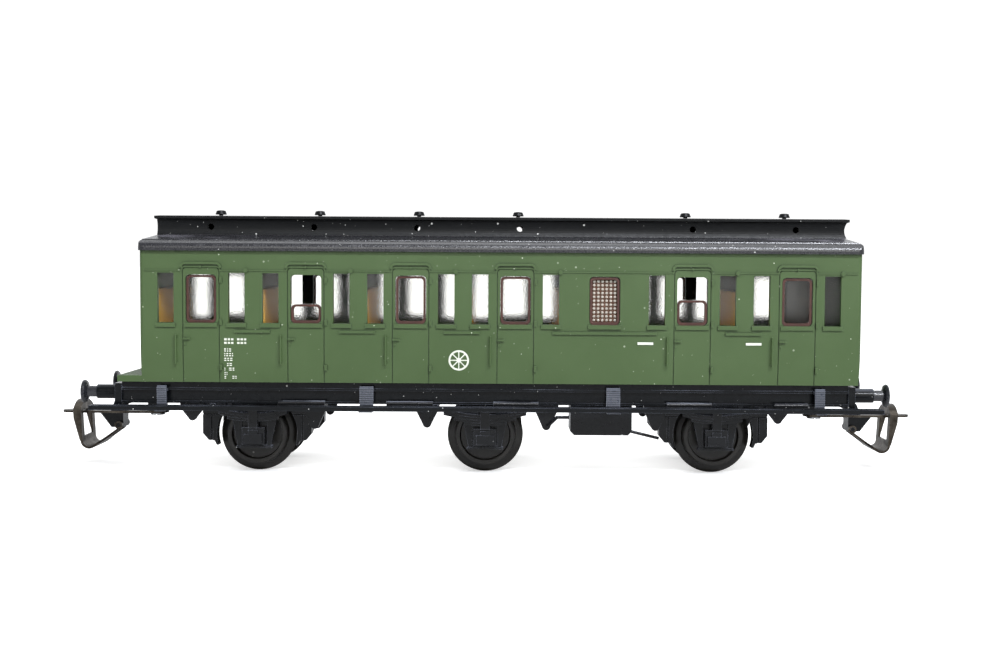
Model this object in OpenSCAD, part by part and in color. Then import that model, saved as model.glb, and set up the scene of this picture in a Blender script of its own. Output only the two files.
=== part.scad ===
// Passenger coach for a 12 mm gauge model railway, scale 1:120: a compartment coach on three
// axles with a clerestory roof, running boards and a hook-and-loop coupling at each end.
// X runs along the coach and Z is up. The origin is on the rail plane of the wheel flanges,
// under the middle axle. End 1 is the end with the open platform (-X), end 2 the other one.
// "near" is the -Y side and "far" the +Y side. All sizes are in millimetres.

/* [Body] */
// Length of the body shell
body_len = 92.7; // [92.3:0.1:92.8]
// Outer width of the body shell above the waist
body_w = 21.6; // [21.2:0.1:21.8]
// Height of the body's top edge
body_top = 29.0; // [28.8:0.1:29.2]
// Wall thickness of the body shell
wall = 0.9; // [0.8:0.05:1.0]
// How far the sides and ends curve in at the bottom
tumble = 0.25; // [0.2:0.05:0.5]

/* [Doors and windows] */
// Distance from one door to the next
door_pitch = 13.45; // [13.4:0.05:13.5]
// Width of a door
door_w = 4.8; // [4.6:0.1:5.0]
// Width of a door window
door_window_w = 3.95; // [3.8:0.05:4.0]
// Width of a narrow window beside a door
side_window_w = 2.1; // [2.0:0.1:2.3]
// Height of the door windows
window_h = 6.2; // [6.0:0.1:6.3]
// Height of the narrow windows
side_window_h = 6.4; // [6.2:0.1:6.5]
// How far the lowered window of door 2 is down
drop_two = 3.7; // [2.0:0.1:4.2]
// How far the lowered window of door 5 is down
drop_five = 2.9; // [2.0:0.1:4.2]

/* [Roof] */
// Width of the roof at its eaves
roof_w = 22.6; // [22.4:0.1:22.8]
// Height of the clerestory's flat top edge
clerestory_top = 33.6; // [33.4:0.1:33.8]
// Width of the clerestory at its foot
clerestory_w = 9.6; // [9.2:0.1:9.8]

/* [Running gear] */
// Diameter over the wheel flange
flange_d = 10.0; // [9.8:0.1:10.0]
// Diameter of the wheel tread
tread_d = 8.0; // [7.8:0.1:8.1]
// Distance between the backs of the two wheels of an axle
back_to_back = 10.2; // [10.1:0.05:10.3]
// Distance from the middle axle to each end axle
axle_pitch = 30.0; // [29.8:0.1:30.2]

/* [Ends] */
// Length over the buffers
buffer_len = 105.8; // [105.6:0.1:106.2]
// Distance between the two buffers of an end
buffer_gauge = 14.6; // [14.4:0.1:14.8]
// Height of the buffers above the flanges
buffer_z = 10.5; // [10.4:0.05:10.6]
// Length over the coupling hooks
hook_len = 115.6; // [115.2:0.1:116.0]

/* [Hidden] */

$fn = 48;
through = 30;

// Body
body_cx = 1.95;
body_z0 = 12.1;
waist_z = 19.0;
tumble_steps = 5;
corner_r = 0.5;
groove_w = 0.13;
groove_depth = 0.14;
half_w = body_w / 2;
half_len = body_len / 2;

// Doors: six on each side, with the lavatory between the fourth and the fifth
first_door_x = -36.5;
lavatory_gap = 22.7;
door_x = [for (i = [0:5]) first_door_x + i * door_pitch + (i > 3 ? lavatory_gap - door_pitch : 0)];
door_top = 26.9;
door_r = 0.55;
lavatory_x = (door_x[3] + door_x[4]) / 2 + 0.1;
side_window_dx = 4.55;
sill_z = 19.75;
window_r = 0.55;
sill_h = 0.55;
ledge_z = 18.5;
ledge_dx = -0.15;
ledge_h = 0.35;
ledge_len = 4.6;
lavatory_ledge_len = 13.4;
bead_z = 26.4;
bead_h = 0.16;
proud = 0.24;
bury = 0.4;
drip_w = 5.3;
drip_top = 27.55;
drip_h = 0.28;
hinge_z = [13.7, 19.5, 24.9];
hinge_w = 0.32;
hinge_h = 0.7;
rosette_dx = 5.75;
bead_gap = door_w / 2 + 0.12;
bead_rise = 0.45;
bead_r = 0.5;
stud_r = 0.13;
bead_spans = [
    [body_cx - half_len + 0.6, door_x[0] - bead_gap],
    for (i = [0:4]) [door_x[i] + bead_gap, door_x[i + 1] - bead_gap],
    [door_x[5] + bead_gap, body_cx + half_len - 0.6]
];
rosette_r = 0.28;

// Window frames and glazing
frame_bar = 0.36;
frame_gap = 0.08;
frame_out = 0.22;
frame_t = 0.6;
glazing_t = 0.4;
glazing_z0 = 19.3;
glazing_h = 8.0;
pane_t = 0.25;

// Interior
insert_z = 13.4;
insert_floor_t = 0.6;
insert_half_w = half_w - wall - glazing_t - 0.3;
partition_t = 0.8;
partition_top = 27.6;
end_partition_x = door_x[5] + 2.8;
partition_x = [
    for (i = [0:2]) door_x[i] + door_pitch / 2,
    door_x[3] + door_pitch / 2,
    door_x[4] - door_pitch / 2 + 0.3,
    door_x[4] + door_pitch / 2
];
bench_depth = 2.7;
bench_z = 17.2;
bench_back_top = 24.0;
bench_back_t = 0.7;
weight_z = 12.5;
weight_x0 = -30;
weight_x1 = 33;
screw_x = [-34.5, 38.5];
screw_r = 0.7;

// Roof
roof_cx = 1.95;
roof_half_len = 46.55;
eave_h = 0.35;
eave_round_w = 1.3;
eave_round_h = 1.0;
eave_step = 0.12;
roof_ridge_z = 31.1;
roof_arc_steps = 7;
clerestory_cx = 2.05;
clerestory_half_len = 45.65;
cove_depth = 0.22;
end_cove_depth = [0.02, 0.28];
cove_steps = 8;
cap_h = 0.46;
cap_out = 0.3;
cap_crown = 0.15;
vent_dx = 0.4;
vent_neck_r = 0.28;
light_hole_z = 32.2;
light_hole_r = 0.42;
light_hole_pitch = 13.65;
light_hole_step = lavatory_gap + 0.2 - light_hole_pitch;
light_hole_x = [
    for (i = [0:5]) first_door_x + i * light_hole_pitch + (i > 3 ? light_hole_step : 0)
];

// Underframe
floor_half_len = 47.0;
floor_half_w = 9.8;
floor_z = 11.3;
boss_half_w = 9.2;
solebar_in = 9.2;
solebar_web = 0.3;
solebar_out = 10.0;
solebar_z0 = 9.3;
flange_t = 0.3;
headstock_t = 0.9;
headstock_half_w = 10.0;
headstock_z0 = 8.8;
headstock_z1 = 11.85;
headstock_face = floor_half_len + headstock_t;

// Buffers
head_r = 1.53;
head_t = 0.7;
plunger_r = 0.72;
sleeve_r = 0.93;
sleeve_len = 2.95;
sleeve_foot_r = 1.3;

// Running boards
board_x0 = -50.5;
board_x1 = 50.9;
board_in = 11.0;
board_out = 12.8;
board_z = 8.65;
board_t = 0.55;
bracket_x = [-41.6, -15.25, 16.5, 43.1];
bracket_w = [1.2, 1.75, 1.75, 1.25];
bracket_top = 11.65;
bracket_t = 0.32;
bracket_face = 10.92;
rib_count = 8;
rib_pitch = 0.28;
rib_h = 0.14;
rib_out = 0.13;
rib_z0 = board_z + board_t + 0.15;

// Running gear
axle_z = flange_d / 2;
axle_x = [-axle_pitch, 0, axle_pitch];
wheel_w = 2.2;
flange_t_wheel = 0.65;
rim_in_r = 3.35;
wheel_back = back_to_back / 2;
wheel_face = wheel_back + wheel_w;
axle_r = 0.75;
journal_r = 0.45;
journal_gap = 0.05;
journal_end = 9.3;
cup_end = 9.45;
guard_in = 8.3;
guard_out = 9.2;
guard_top_w = 5.9;
guard_foot_w = 4.3;
guard_foot_z = 3.7;
guard_waist_z = 7.6;
box_w = 2.9;
box_z0 = 3.95;
box_z1 = 6.15;
box_front = 10.5;

// Leaf springs
leaf_t = 0.3;
leaf_filler = 0.07;
spring_in = 9.3;
spring_out = 10.35;
buckle_w = 1.2;

// Gas cylinders
cylinder_r = 0.33;
cylinder_y = 10.6;
cylinder_z = 9.45;
strap_w = 0.3;
strap_t = 0.14;
cylinder_spans = [[-26.6, -20.6], [-12.7, -6.7], [1.1, 6.9], [23.4, 29.2], [37.3, 41.6]];

// Grab rails, door handles and class plates
rail_r = 0.13;
rail_dx = 0.8;
rail_out = 0.42;
rail_z0 = 14.5;
rail_len = 3.75;
rail_foot_z = [14.75, 18.0];
handle_x = -2.3;
handle_len = 0.9;
handle_z = 17.6;
handle_t = 0.22;
lock_z = 17.05;
lock_r = 0.16;
plate_x = [20.55, 34.45];
plate_w = 2.0;
plate_h = 0.32;
plate_z = 17.25;

// Battery box
battery_x0 = 11.1;
battery_x1 = 19.1;
battery_z0 = 5.3;
battery_chamfer = 0.5;
battery_out = 9.15;
battery_in = 4.2;

// Brakes
brake_gap = 0.3;
shoe_in = 5.6;
shoe_out = 7.2;
hanger_in = 7.6;
hanger_t = 0.6;
hanger_x = [-38.3, -22.3, -7.6, 8.0, 22.3, 38.3];
hanger_tip_z = [6.8, 5.8, 6.05, 5.8, 5.8, 6.8];
hanger_tip_r = 0.55;

// Couplings
hook_z = 6.95;
sheet_t = 0.3;
pivot_x = 44.9;
pocket_half_len = 0.95;
pocket_half_w = 1.6;
pin_r = 0.6;
pin_gap = 0.05;
pin_head_r = 0.95;
pin_head_t = 0.25;
hook_half_w = 1.5;
head_half_w = 1.3;
head_x0 = 49.3;
head_z0 = 5.0;
head_z1 = 8.75;
rivet_x = 50.2;
rivet_r = 0.5;
trunnion_x = 49.8;
trunnion_z = 5.35;
trunnion_r = 0.25;
trunnion_end = 1.8;
bow_half_w = 3.0;
bow_eye_r = 0.52;
bend_x = 54.63;
bend_z = 3.35;
bend_r = 1.15;
arm_angle = 36;
frame_lean = 3;
bow_top_z = 8.73;
bow_arch_r = 4.2;
bow_gap_half_w = 1.9;
bow_gap_z0 = 3.9;
bow_gap_z1 = 7.4;
bow_rim_w = 0.75;

// ---- helpers ----

// Stretches a flat outline drawn in Y and Z along X, centred on x.
module along_x(x, len) {
    translate([x, 0, 0])
        rotate([90, 0, 90])
            linear_extrude(height = len, center = true)
                children();
}

// Stretches a flat outline drawn in X and Z along Y, from y0 to y1.
module along_y(y0, y1) {
    translate([0, y1, 0])
        rotate([90, 0, 0])
            linear_extrude(height = y1 - y0)
                children();
}

// A block from its lowest to its highest corner.
module block(low, high) {
    translate(low)
        cube(high - low);
}

// A rectangle with round corners, centred on x = 0 with its foot at y = 0.
module rounded_rect(w, h, r) {
    translate([-w / 2 + r, 0])
        square([w - 2 * r, h]);
    translate([-w / 2, r])
        square([w, h - 2 * r]);
    for (x = [-1, 1], y = [r, h - r])
        translate([x * (w / 2 - r), y])
            circle(r = r);
}

// Repeats its children on the near side and, mirrored, on the far side.
module both_sides() {
    children();
    mirror([0, 1, 0])
        children();
}

// Places a piece made for end 2 at the given end.
module at_end(end) {
    mirror([end == 1 ? 1 : 0, 0, 0])
        children();
}

// Places a piece made for the near side on the given side.
module at_side(side) {
    mirror([0, side == "far" ? 1 : 0, 0])
        children();
}

// Closes an outline from its right half, given from the bottom up.
module mirrored_outline(right) {
    outline_from_halves(right, right);
}

// Closes an outline from two different halves, both given to the right and from the bottom up.
module outline_from_halves(right, left) {
    left_down = [for (i = [len(left) - 1:-1:0]) [-left[i][0], left[i][1]]];
    polygon(concat(right, left_down));
}

// ---- body ----

function curve_in(z) = tumble * pow(max(0, waist_z - z) / (waist_z - body_z0), 2);

// Right half of a body section that is half wide, with its foot and head moved by low and high.
function section_half(half, low, high) = concat(
    [[half - curve_in(body_z0), body_z0 - low]],
    [for (i = [0:tumble_steps])
        let (z = body_z0 + (waist_z - body_z0) * i / tumble_steps)
        [half - curve_in(z), z + (i == 0 ? 0.001 : 0)]],
    [[half, body_top + high]]
);

// The body as a solid, made smaller all round by inset.
module body_solid(inset, extra) {
    intersection() {
        along_x(body_cx, body_len + 2)
            mirrored_outline(section_half(half_w - inset, extra, extra));
        translate([body_cx, 0, 0])
            along_y(-through, through)
                mirrored_outline(section_half(half_len - inset, extra, extra));
        translate([body_cx, -half_w + inset, body_z0 - extra])
            linear_extrude(height = body_top - body_z0 + 2 * extra)
                rounded_rect(body_len - 2 * inset, body_w - 2 * inset, corner_r);
    }
}

// Line round a door, drawn in X and Z.
module door_line() {
    difference() {
        translate([0, body_z0 - 2])
            rounded_rect(door_w, door_top - body_z0 + 2, door_r);
        translate([0, body_z0 - 3])
            rounded_rect(door_w - 2 * groove_w, door_top - body_z0 + 3 - groove_w, door_r - groove_w);
    }
}

module window_opening(w) {
    translate([0, sill_z])
        rounded_rect(w, window_h, window_r);
}

module body_grooves() {
    for (x = door_x)
        translate([x, 0, 0])
            along_y(-through, through)
                door_line();
    for (y = [-1, 1])
        translate([0, y * 3.4, 0])
            block([-through * 2, -groove_w / 2, body_z0 - 1], [through * 2, groove_w / 2, bead_z]);
}

module body_windows() {
    for (x = concat(door_x, [lavatory_x]))
        translate([x, 0, 0])
            along_y(-through, through)
                window_opening(door_window_w);
    for (x = door_x, side = [-1, 1])
        translate([x + side * side_window_dx - side_window_w / 2, -through, sill_z])
            cube([side_window_w, 2 * through, side_window_h]);
}

// A bar on the near wall, w long and h high, centred on x with its foot at z.
module wall_bar(x, z, w, h, out) {
    block([x - w / 2, -half_w - out, z], [x + w / 2, -half_w + bury, z + h]);
}

// Curved rain strip over a door.
module drip_strip(x) {
    translate([x, 0, 0])
        along_y(-half_w - proud, -half_w + bury)
            intersection() {
                difference() {
                    translate([0, drip_top - 2])
                        rounded_rect(drip_w, 2, 0.7);
                    translate([0, drip_top - 2 - drip_h])
                        rounded_rect(drip_w - 2 * drip_h, 2, 0.45);
                }
                translate([-drip_w / 2, drip_top - 0.75])
                    square([drip_w, 1]);
            }
}

// Bead that goes on over the top of a door, between the straight beads beside it.
module door_bead(x) {
    h = bead_rise + bead_h;
    translate([x, 0, 0])
        along_y(-half_w - proud / 2, -half_w + bury)
            intersection() {
                difference() {
                    translate([0, bead_z + h - 2])
                        rounded_rect(2 * bead_gap, 2, bead_r);
                    translate([0, bead_z + h - 2 - bead_h])
                        rounded_rect(2 * bead_gap - 2 * bead_h, 2, bead_r - bead_h);
                }
                translate([-bead_gap, bead_z])
                    square([2 * bead_gap, 1]);
            }
}

// A small knob on the near wall.
module knob(x, z, r) {
    translate([x, -half_w + bury, z])
        rotate([90, 0, 0])
            cylinder(r = r, h = bury + proud + 0.1);
}

module door_trim(x) {
    drip_strip(x);
    door_bead(x);
    knob(x + rosette_dx, bead_z + bead_h / 2, rosette_r);
    knob(x, door_top + 0.05, stud_r);
    wall_bar(x, sill_z - sill_h, door_window_w + 0.3, sill_h - 0.02, proud);
    for (side = [-1, 1])
        wall_bar(x + side * side_window_dx, sill_z - sill_h, side_window_w + 0.45, sill_h - 0.02, proud);
    for (z = hinge_z)
        wall_bar(x + door_w / 2 + hinge_w / 2, z, hinge_w, hinge_h, proud);
}

module near_wall_trim() {
    for (x = door_x)
        door_trim(x);
    for (x = [for (i = [0, 1, 2, 4]) door_x[i] + door_pitch / 2])
        wall_bar(x + ledge_dx, ledge_z, ledge_len, ledge_h, proud);
    wall_bar(lavatory_x, ledge_z, lavatory_ledge_len, ledge_h, proud);
    wall_bar(lavatory_x, sill_z - sill_h, door_window_w + 0.3, sill_h - 0.02, proud);
    for (span = bead_spans)
        wall_bar((span[0] + span[1]) / 2, bead_z, span[1] - span[0], bead_h, proud / 2);
}

module body_shell() {
    color("#5c7452")
        difference() {
            union() {
                difference() {
                    body_solid(0, 0);
                    body_grooves();
                }
                body_solid(groove_depth, 0);
                both_sides()
                    near_wall_trim();
            }
            body_solid(wall, 1);
            body_windows();
        }
}

// Open platform at end 1, outside the end wall.
module end_platform() {
    platform_x0 = -47.4;
    platform_x1 = body_cx - half_len + wall;
    platform_half_w = half_w - tumble - 0.05;
    platform_top = 12.9;
    color("#5c7452")
        difference() {
            block([platform_x0, -platform_half_w, body_z0], [platform_x1, platform_half_w, platform_top]);
            body_solid(0, 1);
            for (i = [1:4])
                block(
                    [platform_x0 + i * 0.6, -platform_half_w + 0.4, platform_top - 0.08],
                    [platform_x0 + i * 0.6 + 0.1, platform_half_w - 0.4, platform_top + 1]
                );
        }
}

// ---- roof ----

// Right half of the lower roof's section.
function roof_half(half) = concat(
    [[half, body_top]],
    [for (i = [0:roof_arc_steps])
        let (a = 90 * i / roof_arc_steps)
        [half - eave_round_w * (1 - cos(a)), body_top + eave_h + eave_round_h * sin(a)]],
    [
        [half - eave_round_w - 0.05, body_top + eave_h + eave_round_h + eave_step],
        [half - eave_round_w - 0.3, body_top + eave_h + eave_round_h + eave_step],
        [clerestory_w / 2 + 0.2, roof_ridge_z]
    ]
);

// Right half of the lower roof seen from the side.
function roof_end_half(half) = [
    [half, body_top],
    [half - 0.04, body_top + 0.3],
    [half - 0.2, body_top + 1.1],
    [half - 0.36, body_top + 1.42],
    [half - 0.85, body_top + 1.85],
    [half - 1.25, roof_ridge_z + 0.1]
];

module roof() {
    color("#38383f") {
        intersection() {
            along_x(roof_cx, roof_half_len * 2)
                mirrored_outline(roof_half(roof_w / 2));
            translate([roof_cx, 0, 0])
                along_y(-through, through)
                    mirrored_outline(roof_end_half(roof_half_len));
            translate([roof_cx, -roof_w / 2, body_top - 1])
                linear_extrude(height = 4)
                    rounded_rect(roof_half_len * 2, roof_w, 0.9);
        }
        difference() {
            block(
                [body_cx - half_len + wall + 0.15, -half_w + wall + 0.15, body_top - 0.8],
                [body_cx + half_len - wall - 0.15, half_w - wall - 0.15, body_top + 0.5]
            );
            block(
                [body_cx - half_len + 3, -half_w + 2.4, body_top - 1],
                [body_cx + half_len - 3, half_w - 2.4, body_top]
            );
        }
    }
}

// Right half of the clerestory's section: a hollow curve under a thin cap.
function clerestory_half(half, depth) = concat(
    [for (i = [0:cove_steps])
        let (t = i / cove_steps)
        [
            half - depth * (1 - pow(2 * t - 1, 2)),
            roof_ridge_z + t * (clerestory_top - cap_h - roof_ridge_z)
        ]],
    [
        [half + cap_out, clerestory_top - cap_h + 0.12],
        [half + cap_out, clerestory_top]
    ]
);

// Half of the clerestory seen from the side, with its end wall hollow by depth.
function clerestory_end_half(depth) = concat(
    clerestory_half(clerestory_half_len, depth),
    [[clerestory_half_len, clerestory_top + 1]]
);

module clerestory() {
    color("#2c2c2e")
        difference() {
            intersection() {
                along_x(clerestory_cx, clerestory_half_len * 2 + 2)
                    mirrored_outline(concat(
                        clerestory_half(clerestory_w / 2, cove_depth),
                        [[clerestory_w / 4, clerestory_top + cap_crown]]
                    ));
                translate([clerestory_cx, 0, 0])
                    along_y(-through, through)
                        outline_from_halves(
                            clerestory_end_half(end_cove_depth[1]),
                            clerestory_end_half(end_cove_depth[0])
                        );
            }
            block(
                [clerestory_cx - clerestory_half_len + 1, -clerestory_w / 2 + 1, roof_ridge_z - 1],
                [clerestory_cx + clerestory_half_len - 1, clerestory_w / 2 - 1, clerestory_top - 0.6]
            );
            for (x = light_hole_x)
                translate([x, -through, light_hole_z])
                    rotate([-90, 0, 0])
                        cylinder(r = light_hole_r, h = 2 * through);
            for (x = door_x)
                translate([x + vent_dx, 0, clerestory_top - 1])
                    cylinder(r = vent_neck_r, h = 2);
        }
}

module roof_vents() {
    color("#2c2c2e")
        for (x = door_x)
            translate([x + vent_dx, 0, clerestory_top])
                rotate_extrude()
                    polygon([
                        [0, -0.6], [vent_neck_r, -0.6], [vent_neck_r, 0.36], [0.75, 0.36],
                        [0.75, 0.45], [0.6, 0.86], [0.35, 0.93], [0, 0.95]
                    ]);
}

// ---- windows ----

// Only the near side has lowered windows.
function drop_of(i, side) = side == "far" ? 0 : (i == 1 ? drop_two : (i == 4 ? drop_five : 0));

// Outline inside a window's frame.
module pane_outline(h) {
    translate([0, sill_z + frame_bar])
        rounded_rect(door_window_w - 2 * frame_bar, h - 2 * frame_bar, window_r - 0.15);
}

module window_frame(h) {
    difference() {
        translate([0, sill_z])
            rounded_rect(door_window_w - 2 * frame_gap, h - frame_gap, window_r);
        pane_outline(h);
    }
}

module window_frames(side) {
    color("#7a4338")
        at_side(side)
            for (i = [0:6])
                translate([i < 6 ? door_x[i] : lavatory_x, 0, 0])
                    along_y(-half_w + frame_out, -half_w + frame_out + frame_t)
                        window_frame(window_h - drop_of(i, side));
}

// Clear strip behind a wall, open above lowered windows.
module glazing(side) {
    y1 = -half_w + wall + glazing_t;
    color("#dfe6e6")
        at_side(side)
            difference() {
                block(
                    [body_cx - half_len + wall + corner_r + 0.1, y1 - glazing_t, glazing_z0],
                    [body_cx + half_len - wall - corner_r - 0.1, y1, glazing_z0 + glazing_h]
                );
                for (i = [1, 4])
                    if (drop_of(i, side) > 0)
                        block(
                            [door_x[i] - door_window_w / 2, y1 - 1, sill_z + window_h - drop_of(i, side)],
                            [door_x[i] + door_window_w / 2, y1 + 1, glazing_z0 + glazing_h + 1]
                        );
            }
}

module toilet_panes() {
    y0 = -half_w + wall - pane_t;
    color("#c9c5bd")
        both_sides()
            translate([lavatory_x, 0, 0])
                along_y(y0, y0 + pane_t)
                    pane_outline(window_h);
}

// ---- interior ----

module interior_insert() {
    x0 = body_cx - half_len + wall + 0.4;
    x1 = body_cx + half_len - wall - 0.4;
    color("#8a5a34")
        difference() {
            union() {
                block([x0, -9.0, insert_z], [x1, 9.0, insert_z + insert_floor_t]);
                for (x = concat(partition_x, [end_partition_x]))
                    block(
                        [x - partition_t / 2, -insert_half_w, insert_z],
                        [x + partition_t / 2, insert_half_w, partition_top]
                    );
                for (x = screw_x)
                    translate([x, 0, weight_z])
                        cylinder(r = 1.6, h = 1.2);
            }
            for (x = screw_x)
                translate([x, 0, weight_z - 1])
                    cylinder(r = screw_r, h = 2.1);
        }
}

// One bench with its back, facing +X from x.
module bench(x, facing) {
    z0 = insert_z + insert_floor_t;
    translate([x, 0, 0])
        mirror([facing < 0 ? 1 : 0, 0, 0])
            along_y(-8.8, 8.8)
                polygon([
                    [0, z0], [bench_depth - 0.3, z0], [bench_depth, bench_z - 0.5],
                    [bench_depth - 0.2, bench_z], [bench_back_t, bench_z - 0.2],
                    [bench_back_t - 0.2, bench_back_top], [0, bench_back_top]
                ]);
}

module seat_benches() {
    end_gap = 0.45;
    color("#a06a3c") {
        bench(body_cx - half_len + wall + end_gap, 1);
        for (i = [0, 1, 2, 5]) {
            bench(partition_x[i] + partition_t / 2, 1);
            bench(partition_x[i] - partition_t / 2, -1);
        }
        bench(partition_x[3] - partition_t / 2, -1);
        bench(partition_x[4] + partition_t / 2, 1);
    }
}

module ballast_weight() {
    color("#777b80")
        block([weight_x0, -8.6, weight_z], [weight_x1, 8.6, insert_z]);
}

module body_screws() {
    color("#9a9da0")
        for (x = screw_x)
            translate([x, 0, 0])
                difference() {
                    union() {
                        translate([0, 0, floor_z - 0.65])
                            cylinder(r = 1.15, h = 0.65);
                        translate([0, 0, floor_z - 0.1])
                            cylinder(r = screw_r, h = 2.2);
                    }
                    block([-0.15, -2, floor_z - 1], [0.15, 2, floor_z - 0.4]);
                }
}

// ---- underframe ----

module floor_plate() {
    color("#1f2123")
        difference() {
            union() {
                block(
                    [-floor_half_len, -floor_half_w, floor_z],
                    [floor_half_len, floor_half_w, body_z0]
                );
                block(
                    [body_cx - half_len + wall + 0.6, -boss_half_w, floor_z],
                    [body_cx + half_len - wall - 0.6, boss_half_w, weight_z]
                );
            }
            for (x = screw_x)
                translate([x, 0, floor_z - 1])
                    cylinder(r = screw_r + 0.15, h = 3);
        }
}

// Channel-section side member with its flanges turned outwards.
module solebar(side) {
    color("#1f2123")
        at_side(side)
            along_x(0, 2 * floor_half_len)
                polygon([
                    [-solebar_in, floor_z], [-solebar_out, floor_z],
                    [-solebar_out, floor_z - flange_t], [-solebar_in - solebar_web, floor_z - flange_t],
                    [-solebar_in - solebar_web, solebar_z0 + flange_t],
                    [-solebar_out, solebar_z0 + flange_t],
                    [-solebar_out, solebar_z0], [-solebar_in, solebar_z0]
                ]);
}

module headstock(end) {
    color("#1f2123")
        at_end(end)
            difference() {
                block(
                    [floor_half_len, -headstock_half_w, headstock_z0],
                    [headstock_face, headstock_half_w, headstock_z1]
                );
                for (y = [-1, 1])
                    block(
                        [floor_half_len + 0.3, y * 5.2 - 0.35, headstock_z0 + 0.5],
                        [headstock_face + 1, y * 5.2 + 0.35, headstock_z1 - 0.5]
                    );
            }
}

module buffer_sleeves() {
    color("#26282b")
        for (end = [1, 2], y = [-1, 1])
            at_end(end)
                translate([headstock_face, y * buffer_gauge / 2, buffer_z])
                    rotate([0, 90, 0])
                        difference() {
                            union() {
                                cylinder(r = sleeve_foot_r, h = 0.3);
                                cylinder(r = sleeve_r, h = sleeve_len);
                            }
                            translate([0, 0, 0.6])
                                cylinder(r = plunger_r, h = sleeve_len);
                        }
}

// Buffer plunger with its head, seated in the sleeve. The middle of the face is flat.
module buffer_head(end, side) {
    tail = headstock_face + 0.6;
    reach = buffer_len / 2 - tail;
    color("#303338")
        at_side(side)
            at_end(end)
                translate([tail, -buffer_gauge / 2, buffer_z])
                    rotate([0, 90, 0])
                        rotate_extrude()
                            polygon([
                                [0, 0], [plunger_r, 0], [plunger_r, reach - head_t - 0.1],
                                [head_r - 0.15, reach - head_t + 0.12], [head_r, reach - 0.36],
                                [head_r - 0.06, reach - 0.16], [0.95, reach], [0, reach]
                            ]);
}

module running_board(side) {
    color("#26282b")
        at_side(side)
            difference() {
                block([board_x0, -board_out, board_z], [board_x1, -board_in, board_z + board_t]);
                block(
                    [board_x0 + 0.2, -board_out + 0.2, board_z + board_t - 0.08],
                    [board_x1 - 0.2, -board_in - 0.2, board_z + board_t + 1]
                );
            }
}

// Bracket from the solebar down to the running board, with ribs across its face.
module board_bracket(x, w) {
    foot_y = -12.3;
    foot_t = 0.2;
    arm_z = 10.9;
    translate([x, 0, 0]) {
        block([-w / 2, -bracket_face, board_z - foot_t], [w / 2, bracket_t - bracket_face, bracket_top]);
        block([-w / 2, -bracket_face, arm_z], [w / 2, -solebar_out, arm_z + bracket_t]);
        block([-w / 2, foot_y, board_z - foot_t], [w / 2, bracket_t - bracket_face, board_z]);
        for (i = [0:rib_count - 1])
            block(
                [-w / 2, -bracket_face - rib_out, rib_z0 + i * rib_pitch],
                [w / 2, -bracket_face + 0.1, rib_z0 + i * rib_pitch + rib_h]
            );
    }
}

module board_brackets() {
    color("#2d3035")
        both_sides()
            for (i = [0:3])
                board_bracket(bracket_x[i], bracket_w[i]);
}

module grab_rails() {
    color("#5c7452")
        both_sides()
            for (x = door_x)
                translate([x - door_w / 2 - rail_dx, -half_w - rail_out, 0]) {
                    translate([0, 0, rail_z0])
                        cylinder(r = rail_r, h = rail_len);
                    for (z = rail_foot_z)
                        translate([0, 0, z])
                            rotate([-90, 0, 0])
                                cylinder(r = rail_r, h = rail_out - 0.06);
                }
}

module door_handles() {
    color("#5c7452")
        both_sides()
            for (x = door_x)
                translate([x + handle_x, -half_w, 0]) {
                    block([0, -0.3, handle_z], [handle_len, -0.12, handle_z + handle_t]);
                    block([0, -0.2, handle_z], [handle_t, 0, handle_z + handle_t]);
                    translate([handle_t + 0.03, 0, lock_z])
                        rotate([90, 0, 0])
                            cylinder(r = lock_r, h = 0.15);
                }
}

module class_plates() {
    color("#e8e8e4")
        both_sides()
            for (x = plate_x)
                block(
                    [x - plate_w / 2, -half_w - 0.1, plate_z],
                    [x + plate_w / 2, -half_w, plate_z + plate_h]
                );
}

// ---- running gear ----

module axle_guard() {
    difference() {
        union() {
            along_y(-guard_out, -guard_in)
                polygon([
                    [-guard_top_w / 2, floor_z], [-guard_top_w / 2, guard_waist_z],
                    [-guard_foot_w / 2, guard_foot_z], [guard_foot_w / 2, guard_foot_z],
                    [guard_top_w / 2, guard_waist_z], [guard_top_w / 2, floor_z]
                ]);
            block([-2.35, -guard_out - 0.25, guard_foot_z - 0.25], [2.35, -guard_in, guard_foot_z]);
        }
        block([-1.65, -guard_out - 1, box_z0 - 0.15], [1.65, -guard_out + 0.3, box_z1 + 0.75]);
        journal_cup();
    }
    difference() {
        union() {
            block([-box_w / 2, -10.1, box_z0], [box_w / 2, -guard_out + 0.3, box_z1]);
            block([-box_w / 2 + 0.3, -box_front, box_z0 + 0.2], [box_w / 2 - 0.3, -10.1, box_z0 + 1.4]);
            block([-0.6, -box_front + 0.1, box_z0 + 1.2], [0.6, -10.1, box_z1 - 0.25]);
        }
        journal_cup();
    }
}

// Blind hole that the axle's end runs in.
module journal_cup() {
    translate([0, -guard_in + 0.5, axle_z])
        rotate([90, 0, 0])
            cylinder(r = journal_r + journal_gap, h = cup_end - guard_in + 0.5);
}

module axle_guards(i) {
    color("#232528")
        both_sides()
            translate([axle_x[i], 0, 0])
                axle_guard();
}

// One leaf of a spring: a strip of a large ring, lowest at x = 0.
module leaf(len, r, z_low, y0, y1, t) {
    intersection() {
        translate([0, y1, z_low + r])
            rotate([90, 0, 0])
                difference() {
                    cylinder(r = r, h = y1 - y0, $fn = 180);
                    translate([0, 0, -1])
                        cylinder(r = r - t, h = y1 - y0 + 2, $fn = 180);
                }
        block([-len / 2, y0 - 1, z_low - 1], [len / 2, y1 + 1, z_low + 3]);
    }
}

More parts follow.
